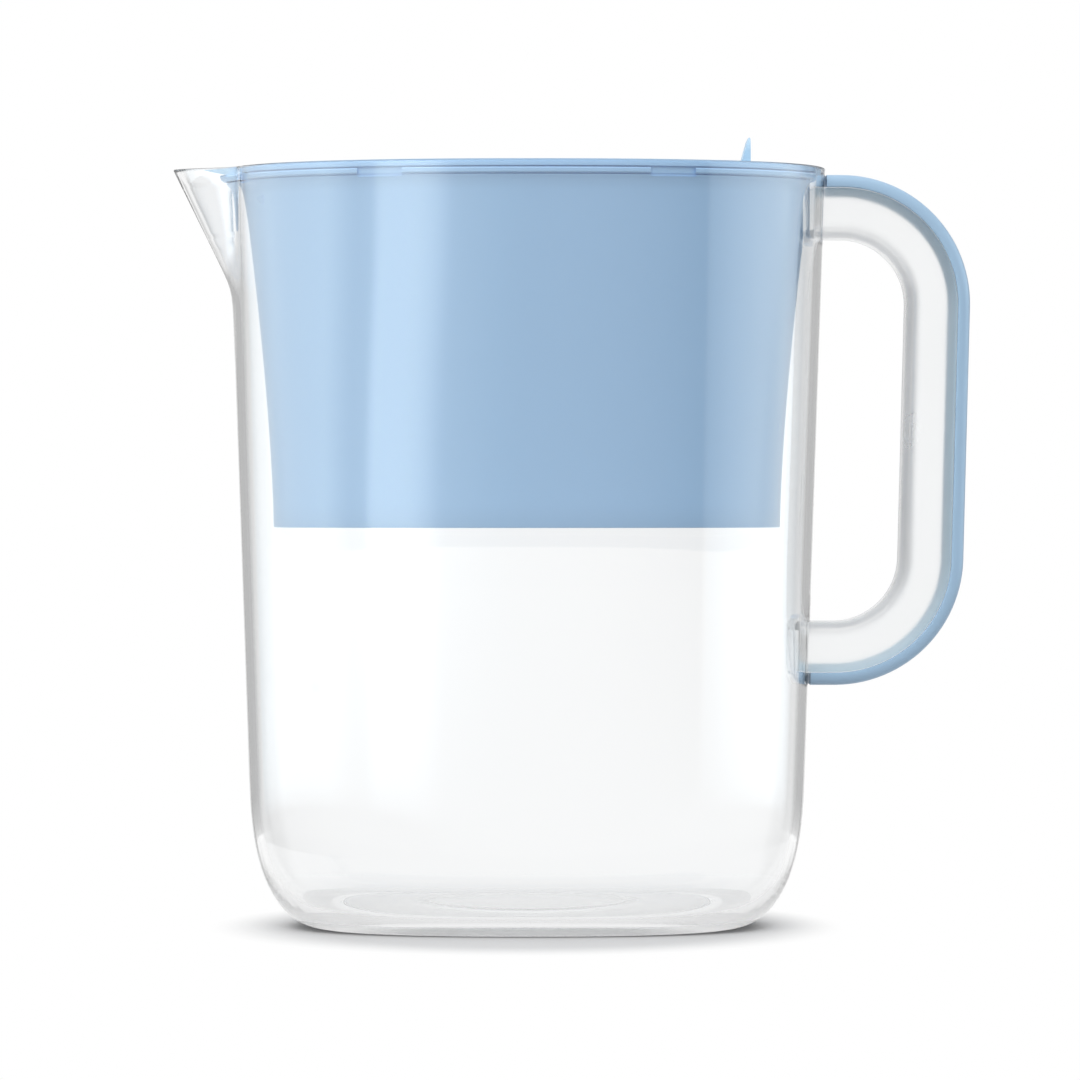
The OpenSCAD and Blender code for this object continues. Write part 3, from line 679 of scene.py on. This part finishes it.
def handle_stations(top_x, bottom_x):
    """Centre x and z, and the angle, of each section along the handle."""
    bend = [k / BEND_N for k in range(BEND_N + 1)]
    stations = [(top_x, BEND_TOP_Z, 90), (HANDLE_TOP_X - BEND_LEAD, BEND_TOP_Z, 90)]
    stations += [(HANDLE_TOP_X, BEND_TOP_Z, 90 - (90 + LEAN) * t) for t in bend]
    for t in (0.01, 0.25, 0.5, 0.75, 0.99):
        x = HANDLE_TOP_X + t * (HANDLE_BOTTOM_X - HANDLE_TOP_X)
        z = BEND_TOP_Z + t * (BEND_LOW_Z - BEND_TOP_Z)
        stations.append((x, z, -LEAN))
    stations += [(HANDLE_BOTTOM_X, BEND_LOW_Z, -LEAN - (90 - LEAN) * t) for t in bend]
    return stations + [(HANDLE_BOTTOM_X - BEND_LEAD, BEND_LOW_Z, -90), (bottom_x, BEND_LOW_Z, -90)]


def sweep_handle(section, top_x, bottom_x, ends):
    """A section of (depth below the outer face, y) points, swept from the upper end to the lower one."""
    rings = []
    for x, z, angle in handle_stations(top_x, bottom_x):
        a = math.radians(angle)
        ring = [(x + (HANDLE_R - d) * math.cos(a), y, z + (HANDLE_R - d) * math.sin(a)) for d, y in section]
        rings.append(ring)
    return loft(rings, ends)


def nook(d, y, r, start, n=8):
    """Quarter round of a section's corner, from a start in degrees."""
    angles = [math.radians(start + 90 * k / n) for k in range(n + 1)]
    return [(d + r * math.cos(a), y + r * math.sin(a)) for a in angles]


def shell_mesh():
    """Clear channel, open towards the grip."""
    w = HANDLE_W / 2
    inner_w = w - CHANNEL_T
    depth = HANDLE_D - CHANNEL_T
    r = 6
    inner_r = 3.4
    edge = 0.5
    mouth = (0, 0.2, 0.6, 1.2)
    outside = nook(GRIP_T + edge, edge - w, edge, 180, 3) + nook(HANDLE_D - r, r - w, r, 270)
    outside += nook(HANDLE_D - r, w - r, r, 0) + nook(GRIP_T + edge, w - edge, edge, 90, 3)
    inside = [(GRIP_T + d, -inner_w) for d in mouth]
    inside += nook(depth - inner_r, inner_r - inner_w, inner_r, 270)
    inside += nook(depth - inner_r, inner_w - inner_r, inner_r, 0)
    inside += [(GRIP_T + d, inner_w) for d in reversed(mouth)]
    return sweep_handle(outside + inside[::-1], SOCKET_TOP_X, SOCKET_LOW_X, "strip")


GRIP_TOP_X = half_len(HANDLE_TOP)
GRIP_LOW_X = half_len(HANDLE_BOTTOM + GRIP_T)
GRIP_GAPS = (0.2, 0.4)  # between the body's wall and the grip's upper and lower end


def grip_mesh():
    w = HANDLE_W / 2
    r = 3
    edge = 0.4
    section = nook(r, w - r, r, 90) + nook(r, r - w, r, 180)
    section += nook(GRIP_T - edge, edge - w, edge, 270, 3)
    section += nook(GRIP_T - edge, w - edge, edge, 0, 3)
    return sweep_handle(section, GRIP_TOP_X + GRIP_GAPS[0], GRIP_LOW_X + GRIP_GAPS[1], "face")


def ridge_mesh():
    """Ridge on the grip's inner face, inside the channel."""
    w = 7
    tip_w = 0.5
    depth = 3
    overlap = 0.3
    flank = 0.6
    half = [(GRIP_T - overlap, w), (GRIP_T + flank, w), (GRIP_T + depth, tip_w)]
    section = [half[0], *[(d, -y) for d, y in half], *half[:0:-1]]
    return sweep_handle(section, GRIP_TOP_X, GRIP_LOW_X, "face")


piece("clear_handle", shell_mesh(), "pitcher", "handle_shell", clear_handle)
piece("blue_grip", grip_mesh(), "pitcher", "handle_grip", grip_blue)
# painted light: the ridge is much paler than the grip it belongs to
piece("grip_ridge", ridge_mesh(), "pitcher", None, ridge_painted_light)


# ---------------------------------------------------------------- reservoir
FLARE_H = FLANGE_Z - SKIRT_Z
FLARE_POWER = 1.5
NOSE_LOW = 4  # reach of the flange's nose in the spout, at its lower and its upper face
NOSE_TOP = 5
RIM_STEP = 0.4
RECESS = (47.6, 14.6, 1.2)  # place along the side, length and depth
DRAIN = (22, 21.6, 8, 1.2)  # place across the spout end, the way it faces in degrees, width and depth
CUT_UP = 0.35  # rise of both above the flange
LUG_X = 16
LUG_HALF_LEN = 4
EDGE_R = 0.4
CORNER_R = 5  # rounding between the wall and the flange
CORNER_TURN = 68  # degrees of it above the wall
CORNER_N = 8
GROOVE = 0.5  # height of the fine grooves above and below the flange's edge
GROOVE_Z = FLANGE_Z - GROOVE
# Floor and mouth of the lower one, as shares of the way out to the flange's edge
GROOVE_IN = 0.1
GROOVE_OUT = 0.7
GROOVE_STEP = 0.02  # rise from a groove's mouth to its floor


def res_plan(z, inset):
    length = RES_LEN / 2 + RES_FLARE * max((z - SKIRT_Z) / FLARE_H, 0) ** FLARE_POWER
    points = plan(length - inset, half_wid(z) - half_len(z) + length - inset, spout_end(z))
    return shaped(points, 0, max(length - DENT_X, 0))


def rim_plan(nose, inset=0):
    s = WALL_T + RIM_GAP + inset
    return shaped(plan(half_len(FLANGE_Z) - s, half_wid(FLANGE_Z) - s, SPOUT_POWER), nose)


def under_flange(z, share):
    """Plan between the wall's, where share is 0, and the flange's edge; by the handle it is the wall's."""
    ring = []
    for (x0, y0), (x1, y1) in zip(res_plan(z, 0), rim_plan(NOSE_LOW)):
        u = share * (ease(abs(y0), DENT_HALF_W, DENT_FADE_W) if x0 > 0 else 1)
        ring.append((x0 + u * (x1 - x0), y0 + u * (y1 - y0)))
    return ring


def reservoir_skin():
    """Wall, flange, bowl and funnel floor as one skin."""
    side_zs = [SKIRT_Z + EDGE_R, 142, 150, 158, 166, 174, 182, 190, 198, 206, 214, 222, 228, 232, 236, 240]
    bowl_zs = [FLANGE_TOP - EDGE_R, 246, 242, 238, 234, 230, 226, 220, 214, 208, 200, 192, FUNNEL_Z + 4]
    under_zs = [170, 160, 150, 142, SKIRT_Z + EDGE_R]
    edge_in = 0.13  # inset and rise of the middle of the lower edge's rounding
    rings = [at_z(res_plan(SKIRT_Z, EDGE_R), SKIRT_Z), at_z(res_plan(SKIRT_Z, edge_in), SKIRT_Z + edge_in)]
    rings += [at_z(res_plan(z, 0), z) for z in side_zs]
    for k in range(CORNER_N + 1):
        t = math.radians(CORNER_TURN * k / CORNER_N)
        z = GROOVE_Z - CORNER_R * (1 - math.sin(t))
        rings.append(at_z(under_flange(z, 1 - math.cos(t)), z))
    rings += [
        at_z(under_flange(GROOVE_Z, GROOVE_OUT), GROOVE_Z),
        at_z(under_flange(GROOVE_Z, GROOVE_IN), GROOVE_Z + GROOVE_STEP),
        at_z(under_flange(FLANGE_Z, GROOVE_IN), FLANGE_Z),
        at_z(rim_plan(NOSE_LOW, EDGE_R), FLANGE_Z),
        at_z(rim_plan(NOSE_LOW + 0.2), FLANGE_Z + EDGE_R),
        at_z(rim_plan(NOSE_TOP - 0.2), FLANGE_TOP - EDGE_R),
        at_z(rim_plan(NOSE_TOP, EDGE_R), FLANGE_TOP),
        at_z(res_plan(FLANGE_TOP, RES_T - EDGE_R), FLANGE_TOP),
    ]
    rings += [at_z(res_plan(z, RES_T), z) for z in bowl_zs]

    # Funnel floor: from the wall down to the socket, and back under it
    for d, h in ((0.3, 2.4), (1.1, 1), (2.5, 0.2), (5, -0.4)):
        rings.append(at_z(res_plan(FUNNEL_Z, RES_T + d), FUNNEL_Z + h))
    funnel_plan = res_plan(FUNNEL_Z, 0)
    for d, h in ((6, 1.2), (1.5, 0.2), (0, 0), (0, -FLOOR_SKIN)):
        rings.append(at_z(circle_like(funnel_plan, FUNNEL_R + d), FUNNEL_LOW_Z + h))
    rings += [
        at_z(res_plan(FUNNEL_Z, RES_T + 4), FUNNEL_Z - FLOOR_SKIN - 0.6),
        at_z(res_plan(FUNNEL_Z - FLOOR_SKIN, RES_T), FUNNEL_Z - FLOOR_SKIN - 2),
    ]
    rings += [at_z(res_plan(z, RES_T), z) for z in under_zs]
    rings += [at_z(res_plan(SKIRT_Z, RES_T - EDGE_R), SKIRT_Z)]
    return loft(rings, "joined")


def rim_mesh():
    """Upright rim on the flange, round the lid."""
    h = LID_TOP - FLANGE_TOP
    foot = 1.1  # inset of the groove round the rim's foot
    sunk = -0.5
    rounding = [(1 - math.cos(a), 1 - math.sin(a)) for a in (math.radians(22.5 * k) for k in range(5))]
    section = [(foot, sunk), (foot, GROOVE - GROOVE_STEP), (0, GROOVE)]
    section += [(EDGE_R * across, h - EDGE_R * down) for across, down in rounding]
    section += [(RES_T - EDGE_R * across, h - EDGE_R * down) for across, down in reversed(rounding)]
    section += [(RES_T, sunk)]
    return loft([at_z(rim_plan(0, RIM_STEP + d), FLANGE_TOP + up) for d, up in section], "joined")


def sleeve_mesh():
    """Socket for the filter, with a lip at its foot."""
    top = FUNNEL_LOW_Z + 1
    foot = SKIRT_Z + 3
    lip_top = foot + 2.2
    lip_r = SLEEVE_R - 5
    out = SLEEVE_R + 3.2
    collar = FUNNEL_R + 2
    return turned([
        (SLEEVE_R, top - 0.4), (SLEEVE_R, lip_top), (lip_r, lip_top), (lip_r, foot), (out - 0.4, foot),
        (out, foot + 0.4), (out, top - 8), (collar, top - 4), (collar, top - 0.6), (collar - 0.6, top),
        (SLEEVE_R + 0.4, top),
    ])


def gusset_mesh(angle):
    """Web between the filter socket and the underside of the funnel floor."""
    r = SLEEVE_R + 2.2
    top = FUNNEL_LOW_Z - 1
    reach = 16
    height = 22
    half_t = 1
    a = math.radians(angle)
    triangle = ((r, top), (r, top - height), (r + reach, top))
    rings = [
        [(r * math.cos(a) - y * math.sin(a), r * math.sin(a) + y * math.cos(a), z) for r, z in triangle]
        for y in (half_t, -half_t)
    ]
    return loft(rings, "face")


def lug_mesh(x, side):
    """Lug inside the mouth that a slot of the lid's skirt drops over."""
    overlap = 0.5
    back = half_wid(FLANGE_Z) - (half_len(FLANGE_Z) - RES_LEN / 2 - RES_FLARE + RES_T - overlap)
    face = back - 2.7
    top = -0.6
    slope_z = -3.3
    foot = -5.5
    foot_in = 0.8
    shape = ((back, top), (face, top), (face, slope_z), (face + foot_in, foot), (back, foot))[::-side]
    ends = (-LUG_HALF_LEN, LUG_HALF_LEN)
    rings = [[(x + side * across, side * y, FLANGE_Z + z) for y, z in shape] for across in ends]
    return loft(rings[::-side], "face")


def cut_out(obj, outline, low, high):
    """Takes the upright prism over an anticlockwise outline out of obj."""
    cutter = mesh_object("cutter", loft([at_z(outline, low), at_z(outline, high)], "face"))
    cut = obj.modifiers.new("cut", "BOOLEAN")
    cut.operation = "DIFFERENCE"
    cut.solver = "EXACT"
    cut.object = cutter
    return cutter


def settle(obj, helpers):
    """Applies obj's modifiers and deletes the helpers."""
    evaluated = obj.evaluated_get(bpy.context.evaluated_depsgraph_get())
    data = bpy.data.meshes.new_from_object(evaluated)
    obj.modifiers.clear()
    obj.data = data
    data.set_sharp_from_angle(angle=SHARP)
    for helper in helpers:
        bpy.data.objects.remove(helper)


def edge_x(y):
    """x of the flange's edge at the spout end, without its nose, at a distance y from the axis."""
    s = WALL_T + RIM_GAP
    a = half_len(FLANGE_Z) - s
    b = half_wid(FLANGE_Z) - s
    return -a * (1 - (y / b) ** SPOUT_POWER) ** (1 / SPOUT_POWER)


def edge_y(x, inset):
    """Half width of the flange's plan at x."""
    s = WALL_T + RIM_GAP + inset
    power = PLAN_POWER if x > 0 else SPOUT_POWER
    return (half_wid(FLANGE_Z) - s) * (1 - (abs(x) / (half_len(FLANGE_Z) - s)) ** power) ** (1 / power)


def edge_cuts(obj):
    """Cuts the recesses of the flange's long edges and the drain notches beside the spout."""
    low, high = FLANGE_Z - 1, FLANGE_TOP + CUT_UP
    cuts = []
    place, length, depth = RECESS
    n = 12
    for sx in (-1, 1):
        xs = [sx * (place + length * (k / n - 0.5)) for k in range(n + 1)]
        outline = [(x, edge_y(x, depth)) for x in xs] + [(xs[-1], BODY_W), (xs[0], BODY_W)]
        for sy in (-1, 1):
            side = [(x, sy * y) for x, y in outline]
            cuts.append(cut_out(obj, side if sx * sy > 0 else side[::-1], low, high))
    y, angle, wide, deep = DRAIN
    for sy in (-1, 1):
        turn = math.radians(180 - sy * angle)
        c, s = math.cos(turn), math.sin(turn)
        corners = [(-deep, -wide / 2), (deep, -wide / 2), (deep, wide / 2), (-deep, wide / 2)]
        outline = [(edge_x(y) + c * u - s * v, sy * y + s * u + c * v) for u, v in corners]
        cuts.append(cut_out(obj, outline, low, high))
    return cuts


def spout_gap():
    """Outline of the gap that the rim leaves for the spout."""
    w = SPOUT_HALF_W
    return [(x - half_len(RIM_Z), y) for x, y in ((0, -w), (2 * w, -w), (2 * w, w), (0, w))]


reservoir = piece(
    "blue_reservoir", reservoir_skin(), "reservoir", "reservoir", reservoir_blue
)
settle(reservoir, edge_cuts(reservoir))
rim = piece("reservoir_rim", rim_mesh(), "reservoir", None, reservoir_blue)
settle(rim, [cut_out(rim, spout_gap(), FLANGE_TOP, RIM_Z + 2), *edge_cuts(rim)])
gussets = [gusset_mesh(a) for a in (45, 135, 225, 315)]
lugs = [lug_mesh(sx * LUG_X, sy) for sx in (-1, 1) for sy in (-1, 1)]
fittings = joined(sleeve_mesh(), *gussets, *lugs)
piece("filter_socket", fittings, "reservoir", None, reservoir_blue)


# ---------------------------------------------------------------- CAD nodes that keep their shape
WELD = 0.005  # the CAD mesh's points are one point within this distance
BEVEL_ANGLE = 40


def dress(name, mat, width):
    """A CAD node with a material, edges softened by width and smooth shading."""
    obj = nodes[name]
    obj.data.materials.clear()
    obj.data.materials.append(mat)
    obj.data.polygons.foreach_set("use_smooth", [True] * len(obj.data.polygons))
    weld = obj.modifiers.new("weld", "WELD")
    weld.merge_threshold = WELD * MM
    if width:
        bevel = obj.modifiers.new("bevel", "BEVEL")
        bevel.width = width * MM
        bevel.segments = 2
        bevel.limit_method = "ANGLE"
        bevel.angle_limit = math.radians(BEVEL_ANGLE)
    normals = obj.modifiers.new("normals", "WEIGHTED_NORMAL")
    normals.keep_sharp = True


dress("lid_frame", lid_blue, 0.25)
dress("flip_door", lid_blue, 0.25)
dress("hinge_rod", steel(), 0.1)
dress("filter_housing", filter_white, 0.2)
dress("filter_cap", cap_blue, 0.2)
dress("filter_seal", seal_grey, 0)
dress("filter_media", granules(), 0)
dress("filter_top_screen", screen_cloth, 0)
dress("filter_bottom_screen", screen_cloth, 0)


# ---------------------------------------------------------------- floor
FLOOR_R = 250
# Near the object the floor is this grey rather than white: painted shade, which the lamps' real shadow
# darkens further
FLOOR_GREY = 0.72
BEHIND_GLASS = -0.05  # change of the white floor's level where it is seen through a clear piece
SHADOW_OVAL = (1.3, 1, 1)  # the painted shadow's fade is an oval, narrower along x by this
SHADOW_FADE = (95, 140)
FOOT_OVAL = (68, 52)  # half axes of the oval round the foot where gloss and glass see painted shade
UNDER_FOOT = (0.72, 0.98)  # fades, in half axes
ROUND_FOOT = (1.15, 1.9)
# Share of the white that gloss and glass see: what it gains under the foot and far off, and the least
WHITE_SHARE = (0.12, 0.85)


def floor_material():
    """White far off; near the object a grey that also takes the lamps' real shadow and fades to white, so
    its shadow is partly painted shade; light itself finds it plain grey.
    """
    mat, tree, shader = material("floor")
    tree.nodes.remove(shader)
    lit = tree.nodes.new("ShaderNodeBsdfDiffuse")
    lit.inputs["Color"].default_value = (FLOOR_GREY, FLOOR_GREY, FLOOR_GREY, 1)
    white = tree.nodes.new("ShaderNodeEmission")
    path = tree.nodes.new("ShaderNodeLightPath")
    level = maths(tree, "MULTIPLY_ADD", path.outputs["Is Transmission Ray"], BEHIND_GLASS, 1)
    tree.links.new(level, white.inputs["Strength"])

    # the camera sees painted shade round the object: lit grey, which also takes the real shadow, fading to
    # white over an oval
    squeezed = tree.nodes.new("ShaderNodeVectorMath")
    squeezed.operation = "MULTIPLY"
    squeezed.inputs[1].default_value = SHADOW_OVAL
    tree.links.new(places(tree), squeezed.inputs[0])
    far = tree.nodes.new("ShaderNodeVectorMath")
    far.operation = "LENGTH"
    tree.links.new(squeezed.outputs["Vector"], far.inputs[0])
    start, end = (r * MM for r in SHADOW_FADE)
    share = ranged(tree, far.outputs["Value"], 0, 1, start, end, "SMOOTHSTEP")

    # gloss and glass see a white floor, but less of it in an oval ring round the foot: painted shade there,
    # showing the lit grey with its real shadow
    powers = [
        maths(tree, "POWER", maths(tree, "ABSOLUTE", maths(tree, "DIVIDE", axis, r * MM)), PLAN_POWER)
        for axis, r in zip(axes(tree, places(tree)), FOOT_OVAL)
    ]
    out = maths(tree, "POWER", maths(tree, "ADD", *powers), 1 / PLAN_POWER)
    most = maths(tree, "MAXIMUM", ranged(tree, out, 1, 0, *UNDER_FOOT), ranged(tree, out, 0, 1, *ROUND_FOOT))
    shiny = shiny_ray(tree, path)
    shiny_share = maths(tree, "MULTIPLY", shiny, maths(tree, "MULTIPLY_ADD", most, *WHITE_SHARE))
    seen = maths(tree, "MAXIMUM", path.outputs["Is Camera Ray"], shiny)
    share = maths(tree, "MULTIPLY", maths(tree, "MAXIMUM", share, shiny_share), seen)
    surface(tree, share, lit.outputs["BSDF"], white.outputs["Emission"])
    return mat


def make_floor():
    """Pale disc under the object."""
    n = 96
    turns = [2 * math.pi * k / n for k in range(n)]
    verts = [(0, 0, 0)] + [(FLOOR_R * math.cos(a), FLOOR_R * math.sin(a), 0) for a in turns]
    obj = mesh_object("floor", (verts, [(0, k + 1, (k + 1) % n + 1) for k in range(n)]))
    obj.data.materials.append(floor_material())


# ---------------------------------------------------------------- world and lamps
# What gloss sees round the object: azimuth in degrees from the camera's side towards the handle, and level
AROUND = (
    (-180, 1.0), (-172, 1.0), (-164, 0.45), (-136, 0.45), (-130, 1.0), (-124, 2.4), (-110, 3.6), (-99, 5.0),
    (-60, 6.6), (-53, 5.2), (-47, 4.0), (-41, 4.4), (-37, 8.0), (-25, 8.0), (-20, 6.2), (-15, 3.2), (0, 1.6),
    (30, 0.7), (46, 0.2), (48.5, 1.8), (60, 3.6), (75, 5.0), (90, 5.2), (99, 5.2), (110, 3.4), (124, 1.2),
    (130, 1.0), (136, 0.45), (164, 0.45), (172, 1.0), (180, 1.0),
)
# What shows through clear pieces round the object
THROUGH = (
    (-180, 0.95), (-177, 0.94), (-172, 0.86), (-166, 0.7), (-160, 0.5), (-128, 0.5), (-118, 1.0), (118, 1.0),
    (128, 0.5), (160, 0.5), (168, 0.85), (175, 0.95), (180, 0.95),
)
# Sines of the elevations between which each fades to its plain grey, and that grey
AROUND_TOP = (0.35, 0.6, 0.9)
THROUGH_TOP = (0.13, 0.26, 0.94)
AROUND_LOW = (-0.13, -0.075, 1.1)
SOFTBOX = (0.82, 0.93, 1.0)  # colour of the light from the panels
TOP_LEVEL = 8  # level that the ramps' white stands for
AMBIENT = 0.62  # level that lights matt surfaces
DEEP_AFTER = 10  # bounces after which a ray sees what shows through clear pieces


def ring_of_light(tree, turn, stops):
    """Level of a panorama at turn, which runs from 0 to 1 all round."""
    ramp = tree.nodes.new("ShaderNodeValToRGB")
    elements = ramp.color_ramp.elements
    elements.remove(elements[-1])
    elements[0].position = 0
    for angle, level in stops[1:]:
        elements.new((angle + 180) / 360)
    for element, (angle, level) in zip(elements, stops):
        element.color = (level / TOP_LEVEL,) * 3 + (1,)
    tree.links.new(turn, ramp.inputs["Fac"])
    return maths(tree, "MULTIPLY", ramp.outputs["Color"], TOP_LEVEL)


def make_world():
    """White for the camera, even light for matt surfaces, and a studio of panels for gloss and glass."""
    world = bpy.data.worlds.new("world")
    bpy.context.scene.world = world
    world.use_nodes = True
    tree = world.node_tree
    x, y, z = axes(tree, places(tree, "Generated"))
    angle = maths(tree, "ARCTAN2", x, maths(tree, "MULTIPLY", y, -1))
    turn = maths(tree, "MULTIPLY_ADD", angle, 1 / (2 * math.pi), 0.5)
    height = maths(tree, "ABSOLUTE", z)

    start, end, level = AROUND_TOP
    fade = ranged(tree, height, 0, 1, start, end)
    around = blend(tree, fade, ring_of_light(tree, turn, AROUND), (level,) * 3)
    around = blend(tree, maths(tree, "SUBTRACT", around, 1), around, SOFTBOX, "MULTIPLY")
    start, end, level = AROUND_LOW
    around = blend(tree, ranged(tree, z, 1, 0, start, end), around, (level,) * 3)
    start, end, level = THROUGH_TOP
    fade = ranged(tree, height, 0, 1, start, end)
    through = blend(tree, fade, ring_of_light(tree, turn, THROUGH), (level,) * 3)

    path = tree.nodes.new("ShaderNodeLightPath")
    deep = maths(tree, "GREATER_THAN", path.outputs["Ray Depth"], DEEP_AFTER)
    seen = blend(tree, path.outputs["Is Glossy Ray"], (AMBIENT,) * 3, around)
    seen = blend(tree, maths(tree, "MAXIMUM", path.outputs["Is Transmission Ray"], deep), seen, through)
    seen = blend(tree, path.outputs["Is Camera Ray"], seen, (1, 1, 1))
    tree.links.new(seen, tree.nodes["Background"].inputs["Color"])


def lamp(name, place, target, width, height, level):
    """Soft box of a given radiance level, which gloss and glass don't show."""
    data = bpy.data.lights.new(name, "AREA")
    data.shape = "RECTANGLE"
    data.size = width
    data.size_y = height
    data.energy = level * math.pi * width * height
    obj = linked(name, data)
    aim(obj, place, target)
    obj.visible_glossy = False
    obj.visible_transmission = False


make_floor()
make_world()
lamp("front_box", (-0.3, -1.3, 1.6), (0, 0, 0.05), 1.4, 1.0, 4.0)
lamp("top_box", (0, -0.1, 1.6), (0, 0, 0), 1.2, 1.2, 1.5)

scene = bpy.context.scene
scene.view_settings.view_transform = "Standard"
scene.cycles.max_bounces = 32
scene.cycles.transmission_bounces = 32
scene.cycles.glossy_bounces = 12
